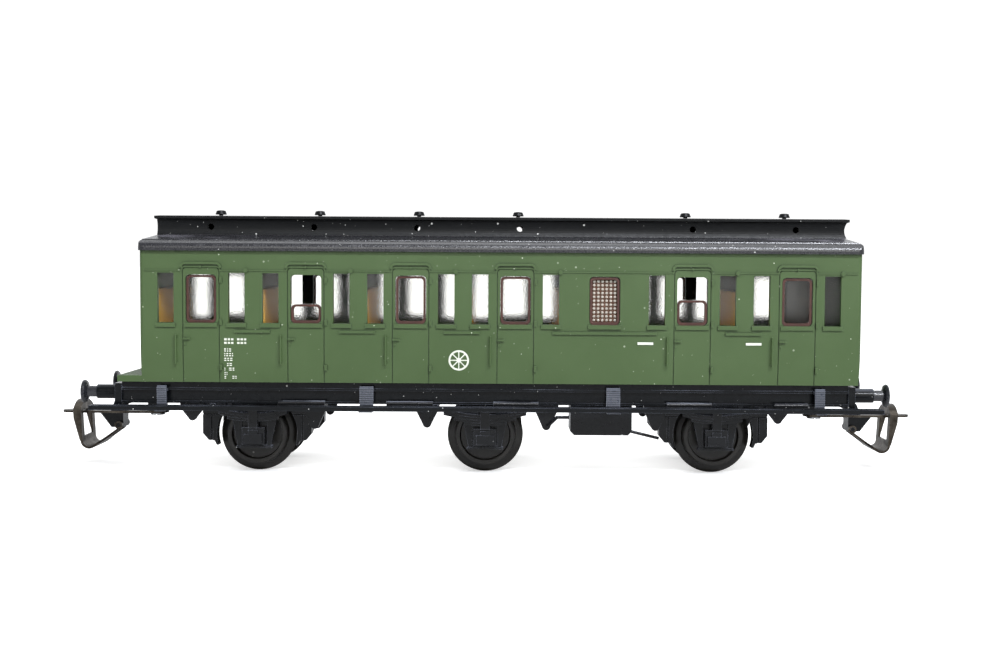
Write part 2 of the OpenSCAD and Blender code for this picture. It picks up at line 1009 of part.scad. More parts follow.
module leaf_spring(span, sag, leaves, z_low) {
    r = (span * span / 4 + sag * sag) / (2 * sag);
    for (k = [0:leaves - 1]) {
        len_k = span * (1 - 0.2 * (leaves - 1 - k));
        z_k = z_low + k * (leaf_t + leaf_filler);
        leaf(len_k, r, z_k, -spring_out, -spring_in, leaf_t + (k < leaves - 1 ? 0.02 : 0));
        if (k < leaves - 1)
            leaf(len_k - 0.3, r, z_k + leaf_t, -spring_out + 0.15, -spring_in - 0.15, leaf_filler + 0.02);
    }
    block([-buckle_w / 2, -box_front, box_z1], [buckle_w / 2, -guard_out, 8.6]);
    for (x = [-1, 1])
        block(
            [x * (span / 2 - 0.35) - 0.3, -spring_out + 0.1, solebar_z0 - 0.75],
            [x * (span / 2 - 0.35) + 0.3, -spring_in - 0.1, solebar_z0]
        );
}

module leaf_springs(i) {
    color("#26282b")
        both_sides()
            translate([axle_x[i], 0, 0])
                if (i == 1)
                    leaf_spring(13.4, 1.0, 4, 6.6);
                else
                    leaf_spring(11.0, 0.9, 3, 7.0);
}

// A brake block with its hanger, on the +X side of a wheel centred on x = 0.
module brake_block() {
    difference() {
        along_y(-shoe_out, -shoe_in)
            polygon([
                [4.2, floor_z], [7.15, floor_z], [7.15, 5.05], [6.4, 4.15],
                [5.6, 4.05], [5.35, 3.5], [4.6, 3.5], [4.2, 6.0]
            ]);
        translate([0, 0, axle_z])
            rotate([90, 0, 0])
                cylinder(r = flange_d / 2 + brake_gap, h = through, $fn = 96);
        block([5.85, -shoe_out - 1, 4], [6.05, -shoe_out + 0.3, 7.6]);
        block([4, -shoe_out - 1, 7.5], [8, -shoe_out + 0.3, 7.7]);
    }
}

module brake_blocks() {
    color("#26282b")
        both_sides()
            for (x = [axle_x[0], axle_x[2]], side = [0, 1])
                translate([x, 0, 0])
                    mirror([side, 0, 0])
                        brake_block();
}

module brake_hangers() {
    color("#2b2d30")
        both_sides()
            for (i = [0:5])
                along_y(-hanger_in - hanger_t, -hanger_in)
                    translate([hanger_x[i], 0]) {
                        polygon([
                            [-1.9, floor_z], [1.9, floor_z], [1.5, 8.4],
                            [0.5, hanger_tip_z[i] + 0.35], [-0.5, hanger_tip_z[i] + 0.35], [-1.5, 8.4]
                        ]);
                        translate([0, hanger_tip_z[i] + hanger_tip_r])
                            circle(r = hanger_tip_r);
                    }
}

// A straight rod between two points of one lengthways plane.
module rod(from, to, y, r) {
    way = to - from;
    translate([from[0], y, from[1]])
        rotate([0, atan2(way[0], way[1]), 0])
            cylinder(r = r, h = norm(way));
}

module brake_rods() {
    pull_rod_r = 0.2;
    pull_rod_y = -6.4;
    lever_r = 0.22;
    lever_y = -8.45;
    lever_bend = [9.4, 7.55];
    color("#26282b") {
        rod([battery_x1 + 0.1, 5.5], [22.95, 4.6], pull_rod_y, pull_rod_r);
        rod([8.1, 6.3], lever_bend, lever_y, lever_r);
        rod(lever_bend, [battery_x0 - 0.1, 7.55], lever_y, lever_r);
        translate([lever_bend[0], lever_y, lever_bend[1]])
            sphere(r = lever_r);
    }
}

module battery_box() {
    color("#26282b")
        along_y(-battery_out, -battery_in)
            polygon([
                [battery_x0, floor_z],
                [battery_x0, battery_z0 + battery_chamfer],
                [battery_x0 + battery_chamfer, battery_z0],
                [battery_x1 - battery_chamfer, battery_z0],
                [battery_x1, battery_z0 + battery_chamfer],
                [battery_x1, floor_z]
            ]);
}

module gas_cylinders() {
    color("#33363b")
        both_sides()
            for (span = cylinder_spans) {
                translate([span[0], -cylinder_y, cylinder_z])
                    rotate([0, 90, 0])
                        cylinder(r = cylinder_r, h = span[1] - span[0]);
                for (x = [span[0] + 0.9, span[1] - 1.2])
                    block(
                        [x, -cylinder_y, cylinder_z - strap_t],
                        [x + strap_w, -solebar_out, cylinder_z]
                    );
            }
}

module axle(i) {
    color("#6a6660")
        translate([axle_x[i], 0, axle_z])
            rotate([90, 0, 0])
                for (end = [0, 1])
                    mirror([0, 0, end]) {
                        cylinder(r = axle_r, h = wheel_face + 0.3);
                        cylinder(r = journal_r, h = journal_end - 0.35);
                        translate([0, 0, journal_end - 0.35])
                            cylinder(r1 = journal_r, r2 = 0.1, h = 0.35);
                    }
}

// A wheel: the back face is towards the middle of the coach.
module wheel(i, side) {
    tread_r = tread_d / 2;
    flange_r = flange_d / 2;
    color("#2a2926")
        at_side(side)
            translate([axle_x[i], -wheel_back, axle_z])
                rotate([90, 0, 0])
                    rotate_extrude($fn = 96)
                        polygon([
                            [axle_r, 0], [1.5, 0], [1.6, 0.35], [3.2, 0.35], [3.5, 0],
                            [flange_r - 0.25, 0], [flange_r, 0.2], [flange_r, 0.35],
                            [flange_r - 0.35, flange_t_wheel - 0.1], [tread_r + 0.05, flange_t_wheel + 0.1],
                            [tread_r - 0.1, wheel_w - 0.1], [tread_r - 0.25, wheel_w],
                            [rim_in_r, wheel_w], [rim_in_r - 0.15, wheel_w - 0.7],
                            [1.6, wheel_w - 0.7], [1.3, wheel_w], [axle_r, wheel_w]
                        ]);
}

// ---- couplings, drawn for end 2 ----

module coupling_pockets() {
    color("#232528")
        for (end = [1, 2])
            at_end(end)
                difference() {
                    block(
                        [pivot_x - pocket_half_len, -pocket_half_w, hook_z + sheet_t + pin_gap],
                        [pivot_x + pocket_half_len, pocket_half_w, floor_z]
                    );
                    translate([pivot_x, 0, 7])
                        cylinder(r = pin_r, h = 3.2);
                }
}

module coupling_pins() {
    color("#8d8f92")
        for (end = [1, 2])
            at_end(end)
                translate([pivot_x, 0, 0])
                    difference() {
                        union() {
                            translate([0, 0, hook_z - pin_gap - pin_head_t])
                                cylinder(r = pin_head_r, h = pin_head_t);
                            translate([0, 0, hook_z - 0.3])
                                cylinder(r = pin_r, h = 3.2);
                        }
                        block([-0.12, -2, 6], [0.12, 2, hook_z - pin_gap - pin_head_t + 0.12]);
                    }
}

// Flat hook plate with a round nose and an eye for the pivot pin.
module hook_plate(end) {
    nose_r = 1.1;
    nose_x = hook_len / 2 - nose_r;
    color("#8b8578")
        at_end(end)
            translate([0, 0, hook_z])
                difference() {
                    linear_extrude(height = sheet_t) {
                        translate([pivot_x, 0])
                            circle(r = hook_half_w);
                        translate([pivot_x, -hook_half_w])
                            square([54.0 - pivot_x, 2 * hook_half_w]);
                        polygon([
                            [54.0, -hook_half_w], [nose_x + 0.35, -nose_r * 0.95],
                            [nose_x + 0.35, nose_r * 0.95], [54.0, hook_half_w]
                        ]);
                        translate([nose_x, 0])
                            circle(r = nose_r);
                    }
                    translate([pivot_x, 0, -1])
                        cylinder(r = pin_r + pin_gap, h = 2);
                    translate([rivet_x, 0, -1])
                        cylinder(r = rivet_r + 0.02, h = 2);
                }
}

// Moulded head whose rivet passes through the hook plate. Its two trunnions carry the bow.
module coupling_head(end) {
    color("#2b2b2d")
        at_end(end) {
            along_y(-head_half_w, head_half_w)
                polygon([
                    [head_x0, hook_z], [head_x0, head_z0], [50.9, head_z0], [52.4, hook_z]
                ]);
            along_y(-head_half_w, head_half_w)
                polygon([
                    [head_x0, head_z1], [head_x0, hook_z + sheet_t],
                    [51.0, hook_z + sheet_t], [50.4, head_z1]
                ]);
            translate([rivet_x, 0, hook_z - 0.2])
                cylinder(r = rivet_r, h = sheet_t + 0.4);
            for (y = [-1, 1])
                translate([trunnion_x, y * head_half_w, trunnion_z])
                    rotate([-90 * y, 0, 0])
                        cylinder(r = trunnion_r, h = trunnion_end - head_half_w);
        }
}

// Centre line of the bow seen from the side: arm, round bend and leaning frame.
bend_c = [bend_x - bend_r * cos(frame_lean), bend_z + bend_r * sin(frame_lean)];
function bow_arc(r) = [
    for (i = [0:8])
        let (a = -90 - arm_angle + (90 + arm_angle - frame_lean) * i / 8)
        bend_c + r * [cos(a), sin(a)]
];
frame_run = (bow_top_z + 0.4 - bend_z) / cos(frame_lean);
frame_dir = [sin(frame_lean), cos(frame_lean)];
arm_dir = [-cos(arm_angle), sin(arm_angle)];
arm_run = (bend_c[0] - bend_r * sin(arm_angle) - trunnion_x) / cos(arm_angle);

module bow_side() {
    outer = bow_arc(bend_r);
    inner = bow_arc(bend_r - sheet_t);
    back = [for (i = [len(inner) - 1:-1:0]) inner[i]];
    polygon(concat(
        [outer[0] + arm_run * arm_dir], outer, [outer[8] + frame_run * frame_dir],
        [back[0] + frame_run * frame_dir], back, [back[8] + arm_run * arm_dir]
    ));
}

// Front view of the bow, in Y and Z, made smaller by inset: straight sides under an arch.
module bow_front(inset) {
    intersection() {
        translate([inset - bow_half_w, 0])
            square([2 * (bow_half_w - inset), bow_top_z - inset]);
        translate([0, bow_top_z - bow_arch_r])
            circle(r = bow_arch_r - inset, $fn = 96);
    }
}

// Gap in the bow's frame that the hook plate passes through.
module bow_gap() {
    block([53.2, -bow_gap_half_w, bow_gap_z0], [60, bow_gap_half_w, bow_gap_z1]);
}

// Plan of the bow's arm: wide at the bend, with two ears that straddle the coupling head.
module bow_plan() {
    polygon([
        [trunnion_x + 1.7, -1.9], [52.3, -bow_half_w], [58, -bow_half_w],
        [58, bow_half_w], [52.3, bow_half_w], [trunnion_x + 1.7, 1.9]
    ]);
    for (y = [-1.9, head_half_w + 0.12])
        translate([trunnion_x - 0.9, y])
            square([3.0, 1.9 - head_half_w - 0.12]);
}

module coupling_bow(end) {
    color("#6d675b")
        at_end(end)
            difference() {
                union() {
                    intersection() {
                        along_y(-bow_half_w, bow_half_w)
                            bow_side();
                        translate([0, 0, -5])
                            linear_extrude(height = 20)
                                bow_plan();
                        along_x(52, 20)
                            bow_front(0);
                    }
                    bow_eyes();
                    bow_rim();
                }
                bow_gap();
                translate([trunnion_x, 0, trunnion_z])
                    rotate([90, 0, 0])
                        cylinder(r = trunnion_r + pin_gap, h = 10, center = true);
                translate([trunnion_x, -head_half_w - 0.12, trunnion_z])
                    rotate([-90, 0, 0])
                        cylinder(r = bow_eye_r + 0.5, h = 2 * head_half_w + 0.24);
            }
}

module bow_eyes() {
    for (y = [-1.9, head_half_w + 0.12])
        translate([trunnion_x, y, trunnion_z])
            rotate([-90, 0, 0])
                cylinder(r = bow_eye_r, h = 1.9 - head_half_w - 0.12);
}

// Rim round the legs and the arch, turned away from the coach and wider towards the top.
module bow_rim() {
    intersection() {
        along_x(57, 10)
            difference() {
                bow_front(0);
                bow_front(sheet_t);
            }
        translate([bend_x, 0, bend_z])
            rotate([0, frame_lean, 0])
                along_y(-bow_half_w, bow_half_w)
                    polygon([[-0.05, -0.1], [0.1, 0.1], [bow_rim_w, 3.1], [bow_rim_w, 6], [-0.05, 6]]);
    }
}

body_shell();
end_platform();
roof();
clerestory();
roof_vents();
glazing("near");  // glazing_near
glazing("far");  // glazing_far
window_frames("near");  // window_frames_near
window_frames("far");  // window_frames_far
toilet_panes();
interior_insert();
seat_benches();
ballast_weight();
body_screws();
floor_plate();
solebar("near");  // solebar_near
solebar("far");  // solebar_far
headstock(1);  // headstock_1
headstock(2);  // headstock_2
buffer_sleeves();
buffer_head(1, "near");  // buffer_head_1_near
buffer_head(1, "far");  // buffer_head_1_far
buffer_head(2, "near");  // buffer_head_2_near
buffer_head(2, "far");  // buffer_head_2_far
running_board("near");  // running_board_near
running_board("far");  // running_board_far
board_brackets();
grab_rails();
door_handles();
class_plates();
axle_guards(0);  // axle_guards_1
axle_guards(1);  // axle_guards_2
axle_guards(2);  // axle_guards_3
leaf_springs(0);  // leaf_springs_1
leaf_springs(1);  // leaf_springs_2
leaf_springs(2);  // leaf_springs_3
brake_blocks();
brake_hangers();
brake_rods();
battery_box();
gas_cylinders();
coupling_pockets();
coupling_pins();
hook_plate(1);  // hook_plate_1
hook_plate(2);  // hook_plate_2
coupling_head(1);  // coupling_head_1
coupling_head(2);  // coupling_head_2
coupling_bow(1);  // coupling_bow_1
coupling_bow(2);  // coupling_bow_2
axle(0);  // axle_1
axle(1);  // axle_2
axle(2);  // axle_3
wheel(0, "near");  // wheel_1_near
wheel(0, "far");  // wheel_1_far
wheel(1, "near");  // wheel_2_near
wheel(1, "far");  // wheel_2_far
wheel(2, "near");  // wheel_3_near
wheel(2, "far");  // wheel_3_far
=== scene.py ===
"""Looks of a model railway passenger coach: its materials and painted marks, a floor, lights and a camera.

The CAD model is the fixed frame. Lengths are in metres, unless a name ends in _mm or _MM.
X runs along the coach, the near side is -Y, and the wheel flanges stand on Z = 0.
"""

import math

import bmesh
import bpy
from mathutils import Matrix, Vector
from mathutils.bvhtree import BVHTree


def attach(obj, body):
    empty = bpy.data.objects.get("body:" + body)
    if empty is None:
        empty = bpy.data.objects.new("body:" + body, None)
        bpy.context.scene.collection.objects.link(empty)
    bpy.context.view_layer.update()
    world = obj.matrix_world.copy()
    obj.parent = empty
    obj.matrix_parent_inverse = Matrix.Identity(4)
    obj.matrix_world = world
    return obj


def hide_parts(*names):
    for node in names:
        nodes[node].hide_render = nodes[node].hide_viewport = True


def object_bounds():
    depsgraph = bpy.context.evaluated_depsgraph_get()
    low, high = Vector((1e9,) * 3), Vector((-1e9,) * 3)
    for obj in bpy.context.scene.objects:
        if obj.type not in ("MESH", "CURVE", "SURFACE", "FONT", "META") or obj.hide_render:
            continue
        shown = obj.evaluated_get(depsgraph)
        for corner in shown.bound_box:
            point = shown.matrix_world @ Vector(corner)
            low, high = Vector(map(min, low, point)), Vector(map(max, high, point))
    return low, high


MM = 0.001
COACH = "coach"
SIDES = (-1, 1)  # near and far

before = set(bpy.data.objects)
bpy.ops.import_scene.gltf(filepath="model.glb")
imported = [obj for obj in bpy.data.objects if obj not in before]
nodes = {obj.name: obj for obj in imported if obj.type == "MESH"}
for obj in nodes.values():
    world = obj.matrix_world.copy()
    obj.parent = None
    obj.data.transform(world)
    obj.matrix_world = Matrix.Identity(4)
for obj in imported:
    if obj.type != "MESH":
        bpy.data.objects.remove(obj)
cad_low, cad_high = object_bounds()
scene = bpy.context.scene


# ---- camera ----

SENSOR_MM = 36.0
LENS_PER_SENSOR = 1.32713  # focal length over sensor width
CAMERA_PLACE = Vector((1.88, -180.94, 27.94)) * MM  # just under roof level
CAMERA_PITCH = 0.0545  # radians down
CAMERA_ROLL = 0.0060  # radians
NEAREST_SEEN = 5 * MM
FARTHEST_SEEN = 20.0


def make_camera():
    data = bpy.data.cameras.new("camera")
    data.sensor_width = SENSOR_MM
    data.lens = SENSOR_MM * LENS_PER_SENSOR
    data.clip_start = NEAREST_SEEN
    data.clip_end = FARTHEST_SEEN
    camera = bpy.data.objects.new("camera", data)
    scene.collection.objects.link(camera)
    down = Matrix.Rotation(math.pi / 2 - CAMERA_PITCH, 4, "X")
    rolled = Matrix.Rotation(CAMERA_ROLL, 4, "Z")
    camera.matrix_world = Matrix.Translation(CAMERA_PLACE) @ down @ rolled
    scene.camera = camera


make_camera()


# ---- building materials from nodes ----

# Noise lies mostly around 0.5: one pair of levels makes soft patches from it, the other a more even change.
PATCHES = (0.35, 0.65)
EVEN = (0.3, 0.7)

# The colour sockets of a Mix node share their names with others, so they are found by number.
MIX_FIRST, MIX_SECOND, MIX_RESULT = 6, 7, 2

# Ambient occlusion is 1 in the open. A mask of edges or hollows starts at the first level here, and is
# full at the other.
OCCLUSION_SAMPLES = 6
EDGE_LEVELS = (0.5, 0.15)
HOLLOW_LEVELS = (0.85, 0.35)

SPECK_CORE = 0.6  # share of a speck's radius where it starts to fade
FAINTEST_SPECK = 0.25
PICK_FADE = 0.02  # how softly a cell drops out of the share that has specks


def srgb(red, green, blue):
    """A linear colour from the 0 to 255 values that a screen shows."""
    def linear(value):
        share = value / 255
        return share / 12.92 if share <= 0.04045 else ((share + 0.055) / 1.055) ** 2.4
    return (linear(red), linear(green), linear(blue), 1.0)


WHITE = (1.0, 1.0, 1.0, 1.0)
# painted shade for grooves and inner corners
HOLLOW_SHADE = srgb(6, 6, 7)


class Graph:
    """A node tree that is being built."""

    def __init__(self, tree):
        self.tree = tree

    def add(self, kind, inputs=None, **settings):
        made = self.tree.nodes.new(kind)
        for key, value in settings.items():
            setattr(made, key, value)
        for socket, value in (inputs or {}).items():
            self.feed(made.inputs[socket], value)
        return made

    def feed(self, socket, value):
        if isinstance(value, bpy.types.NodeSocket):
            self.tree.links.new(value, socket)
        else:
            socket.default_value = value

    def ramp(self, value, low, high, to_low=0.0, to_high=1.0):
        inputs = {"Value": value, "From Min": low, "From Max": high, "To Min": to_low, "To Max": to_high}
        return self.add("ShaderNodeMapRange", inputs).outputs["Result"]

    def maths(self, operation, first, second):
        return self.add("ShaderNodeMath", {0: first, 1: second}, operation=operation).outputs[0]

    def axes(self, vector):
        return self.add("ShaderNodeSeparateXYZ", {"Vector": vector}).outputs

    def looking(self):
        """1 for what the camera sees, straight or through glass, and 0 for rays that only bring light."""
        rays = self.add("ShaderNodeLightPath").outputs
        return self.maths("MAXIMUM", rays["Is Camera Ray"], rays["Is Transmission Ray"])


class Surface(Graph):
    """A material that is being built, with its Principled shader and the patterns used on it."""

    def __init__(self, name, **sockets):
        self.material = bpy.data.materials.new(name)
        self.material.use_nodes = True
        super().__init__(self.material.node_tree)
        self.shader = self.tree.nodes["Principled BSDF"]
        coordinates = self.add("ShaderNodeTexCoord").outputs
        self.place, self.facing = coordinates["Object"], coordinates["Normal"]
        for socket, value in sockets.items():
            self.feed(self.shader.inputs[socket.replace("_", " ")], value)

    def stretched(self, stretch, turn=0.0):
        """The place on the piece, so that patterns grow longer along each axis by stretch."""
        inputs = {"Vector": self.place, "Scale": [1 / s for s in stretch], "Rotation": (0.0, turn, 0.0)}
        return self.add("ShaderNodeMapping", inputs, vector_type="TEXTURE" if turn else "POINT").outputs[0]

    def noise(self, size_mm, detail=3.0, roughness=0.6, stretch=(1, 1, 1)):
        """Soft blotches about size_mm across."""
        inputs = {"Vector": self.stretched(stretch), "Scale": 1000 / size_mm,
                  "Detail": detail, "Roughness": roughness}
        return self.add("ShaderNodeTexNoise", inputs).outputs["Fac"]

    def mix(self, factor, first, second):
        inputs = {"Factor": factor, MIX_FIRST: first, MIX_SECOND: second}
        return self.add("ShaderNodeMix", inputs, data_type="RGBA").outputs[MIX_RESULT]

    def cover(self, below, colour, mask, strength):
        """The colour laid over what is below where the mask is 1, as far as the strength goes."""
        return self.mix(self.maths("MULTIPLY", mask, strength), below, colour)

    def two_tones(self, size_mm, first, second, levels=PATCHES, detail=3.0):
        return self.mix(self.ramp(self.noise(size_mm, detail), *levels), first, second)

    def specks(self, spacing_mm, radius_mm, share, stretch=(1, 1, 1), turn=0.0):
        """Mask of small specks: one in each cell of the spacing, kept in a share of the cells."""
        inputs = {"Vector": self.stretched(stretch, turn), "Scale": 1000 / spacing_mm, "Randomness": 1.0}
        cells = self.add("ShaderNodeTexVoronoi", inputs, voronoi_dimensions="3D")
        edge = radius_mm / spacing_mm
        spot = self.ramp(cells.outputs["Distance"], edge, edge * SPECK_CORE)
        chance = self.add("ShaderNodeSeparateColor", {"Color": cells.outputs["Color"]}).outputs
        kept = self.ramp(chance["Red"], share, share - PICK_FADE)
        strength = self.ramp(chance["Green"], 0.0, 1.0, FAINTEST_SPECK, 1.0)
        return self.maths("MULTIPLY", self.maths("MULTIPLY", spot, kept), strength)

    def edges(self, reach_mm, levels=EDGE_LEVELS):
        """Mask of the outer edges, for rubbed paint and for a painted highlight where light catches."""
        found = self.add("ShaderNodeAmbientOcclusion", {"Distance": reach_mm * MM},
                         inside=True, only_local=True, samples=OCCLUSION_SAMPLES)
        return self.ramp(found.outputs["AO"], *levels)

    def hollows(self, reach_mm):
        """Mask of grooves and inner corners, for painted shade where less light reaches."""
        found = self.add("ShaderNodeAmbientOcclusion", {"Distance": reach_mm * MM}, samples=OCCLUSION_SAMPLES)
        return self.ramp(found.outputs["AO"], *HOLLOW_LEVELS)

    def colour(self, value):
        self.feed(self.shader.inputs["Base Color"], value)

    def rough(self, size_mm, low, high, levels=EVEN, stretch=(1, 1, 1)):
        """Roughness that wanders between low and high in blotches of size_mm."""
        value = self.ramp(self.noise(size_mm, stretch=stretch), *levels, low, high)
        self.feed(self.shader.inputs["Roughness"], value)

    def bump(self, height, depth_mm, strength=1.0):
        inputs = {"Height": height, "Distance": depth_mm * MM, "Strength": strength}
        self.feed(self.shader.inputs["Normal"], self.add("ShaderNodeBump", inputs).outputs["Normal"])

    def let_light_in(self, tint):
        """Rays from lamps pass straight through, so that they light what is behind the glass."""
        clear = self.add("ShaderNodeBsdfTransparent", {"Color": tint})
        for_lamps = self.add("ShaderNodeLightPath").outputs["Is Shadow Ray"]
        inputs = {"Fac": for_lamps, 1: self.shader.outputs["BSDF"], 2: clear.outputs["BSDF"]}
        choice = self.add("ShaderNodeMixShader", inputs)
        self.feed(self.tree.nodes["Material Output"].inputs["Surface"], choice.outputs["Shader"])


# ---- materials ----

# What settles on a handled model: spacing and radius in mm, share of cells that have one, stretch and turn.
DUST_KINDS = (
    (2.2, 0.155, 0.45, (1.0, 1.0, 1.0), 0.0),
    (0.9, 0.085, 0.26, (1.0, 1.0, 1.0), 0.0),
    (1.9, 0.12, 0.24, (5.0, 1.0, 1.0), 0.6),
    (2.1, 0.10, 0.24, (1.0, 1.0, 7.0), -0.9),
)
DUST_STRENGTH = 0.9


def dusty(surface, base, dust, amount=1.0):
    """The base colour under pale specks, scratches and hairs."""
    mask = 0.0
    for spacing_mm, radius_mm, share, stretch, turn in DUST_KINDS:
        kind = surface.specks(spacing_mm, radius_mm, share * amount, stretch, turn)
        mask = surface.maths("MAXIMUM", mask, kind)
    return surface.cover(base, dust, mask, DUST_STRENGTH)


def body_green():
    s = Surface("body_green", Specular_IOR_Level=0.35)
    painted = s.two_tones(14, srgb(63, 83, 47), srgb(69, 89, 53))
    # painted shade in the grooves and inner corners
    shaded = s.cover(painted, srgb(30, 44, 25), s.hollows(0.35), 0.8)
    # paler edges: rubbed paint, and a painted highlight
    worn_and_highlit = s.cover(shaded, srgb(140, 170, 122), s.edges(0.13), 0.5)
    s.colour(dusty(s, worn_and_highlit, srgb(222, 230, 205)))
    s.rough(0.7, 0.40, 0.52)
    s.bump(s.noise(0.22, detail=2), 0.006, 0.5)
    return s.material


BLACK_MOTTLE = 1.35  # how much brighter the paler patches of a black surface are
RUBBED_AND_LIT_EDGE_LEVELS = (0.66, 0.36)
UPWARD = (0.55, 0.95)  # from where a face counts as looking up, by the height of its normal


def painted_black(name, base, pale, roughness, specular, grain, dust=1.0, edge=0.6, reach_mm=0.09,
                  settled_and_lit=0.0, scuffed=None):
    """Black plastic or paint: mottled, with painted shade in its hollows, rubbed edges that also carry a
    painted highlight in places, and dust on it.

    grain is the size and depth of its bumps in mm, and settled_and_lit is how pale the faces that look up
    become: partly dust, partly a painted highlight of light from above.
    """
    s = Surface(name, Specular_IOR_Level=specular)
    brighter = [c * BLACK_MOTTLE for c in base[:3]] + [1.0]
    tone = s.two_tones(3.0, base, brighter, EVEN)
    if scuffed:
        tone = s.mix(scuffed(s), tone, pale)
    # painted shade in grooves and inner corners
    hollows_shaded = s.cover(tone, HOLLOW_SHADE, s.hollows(0.22), 0.85)
    in_places = s.ramp(s.noise(2.6, detail=4, stretch=(3, 1, 1)), 0.42, 0.60, 0.12, 1.0)
    # pale edges in places: rubbed paint, and a painted highlight
    mask = s.maths("MULTIPLY", s.maths("MULTIPLY", s.edges(reach_mm, RUBBED_AND_LIT_EDGE_LEVELS), in_places), edge)
    # faces that look up made paler: dust, and a painted highlight of light from above
    if settled_and_lit:
        lying = s.ramp(s.axes(s.facing)["Z"], *UPWARD, 0.0, settled_and_lit)
        mask = s.maths("MAXIMUM", mask, s.maths("MULTIPLY", lying, in_places))
    s.colour(dusty(s, s.mix(mask, hollows_shaded, pale), srgb(210, 210, 206), dust))
    s.rough(0.6, roughness - 0.06, roughness + 0.08)
    grain_mm, grain_depth_mm = grain
    s.bump(s.noise(grain_mm, detail=2), grain_depth_mm)
    return s.material


def roof_scuffs(s):
    """Mask of the rubbed patches on top of the roof, towards both ends."""
    axes = s.axes(s.place)
    at_ends = s.ramp(s.maths("ABSOLUTE", axes["X"], 0.0), 30 * MM, 44 * MM)
    on_top = s.ramp(axes["Z"], 30.2 * MM, 30.9 * MM)
    rubbed = s.ramp(s.noise(1.6, detail=5, stretch=(2.5, 1, 1)), 0.46, 0.60)
    return s.maths("MULTIPLY", s.maths("MULTIPLY", at_ends, on_top), s.maths("MULTIPLY", rubbed, 0.8))


def window_clear():
    """Clear plastic with a fine grain that blurs and speckles what is seen through it."""
    s = Surface("window_clear", Base_Color=srgb(253, 253, 251), Transmission_Weight=1.0, IOR=1.18,
                Specular_IOR_Level=0.12)
    s.rough(0.5, 0.05, 0.12, levels=(0.35, 0.7))
    s.bump(s.noise(0.20, detail=2.0, roughness=0.8), 0.034)
    s.let_light_in(srgb(247, 248, 246))
    return s.material


def window_patterned():
    """Brownish see-through plastic whose raised knobs carry a painted highlight, near white towards their
    tops.
    """
    s = Surface("window_patterned", IOR=1.3, Transmission_Weight=0.6)
    knob = s.add("ShaderNodeAttribute", attribute_name="knob").outputs["Fac"]
    mottled = s.mix(s.noise(0.5), srgb(104, 76, 60), srgb(136, 106, 88))
    # painted highlight: the knobs turn near white towards their tops, by how high they stand
    s.colour(s.mix(s.ramp(knob, 0.30, 0.80), mottled, srgb(252, 248, 236)))
    s.rough(0.4, 0.12, 0.25)
    s.bump(s.noise(0.2), 0.01)
    s.let_light_in(srgb(190, 170, 150))
    return s.material


def frame_brown():
    s = Surface("frame_brown", Specular_IOR_Level=0.45)
    tone = s.two_tones(1.2, srgb(60, 31, 24), srgb(74, 42, 33))
    # paler edges: rubbed paint, and a painted highlight
    worn_and_highlit = s.cover(tone, srgb(140, 104, 92), s.edges(0.09), 0.45)
    s.colour(s.cover(worn_and_highlit, srgb(214, 190, 178), s.specks(0.8, 0.05, 0.2), 0.6))
    s.rough(0.4, 0.34, 0.5)
    s.bump(s.noise(0.2), 0.008)
    return s.material


def moulded(name, first, second, pale):
    """Coloured plastic with a soft mottle, and paler edges that are partly rubbed and partly a painted
    highlight.
    """
    s = Surface(name, Specular_IOR_Level=0.4)
    s.colour(s.cover(s.two_tones(2.5, first, second), pale, s.edges(0.12), 0.4))
    s.rough(0.5, 0.44, 0.56)
    s.bump(s.noise(0.3), 0.006)
    return s.material


def metal(name, tone, dark, roughness, brushed=(1, 1, 1)):
    """Metal with stains, fine scratches, and brighter edges that are partly rubbed and partly a painted
    highlight.
    """
    s = Surface(name, Metallic=1.0)
    stained = s.two_tones(1.6, tone, dark, levels=(0.35, 0.62), detail=5)
    s.colour(s.cover(stained, srgb(206, 202, 192), s.edges(0.08), 0.6))
    s.rough(0.35, roughness - 0.08, roughness + 0.12, stretch=brushed)
    s.bump(s.noise(0.2, stretch=brushed), 0.004)
    return s.material


def slot_of(material):
    """The slot a material fills: its name without the number that Blender adds."""
    return material.name.split(".")[0]


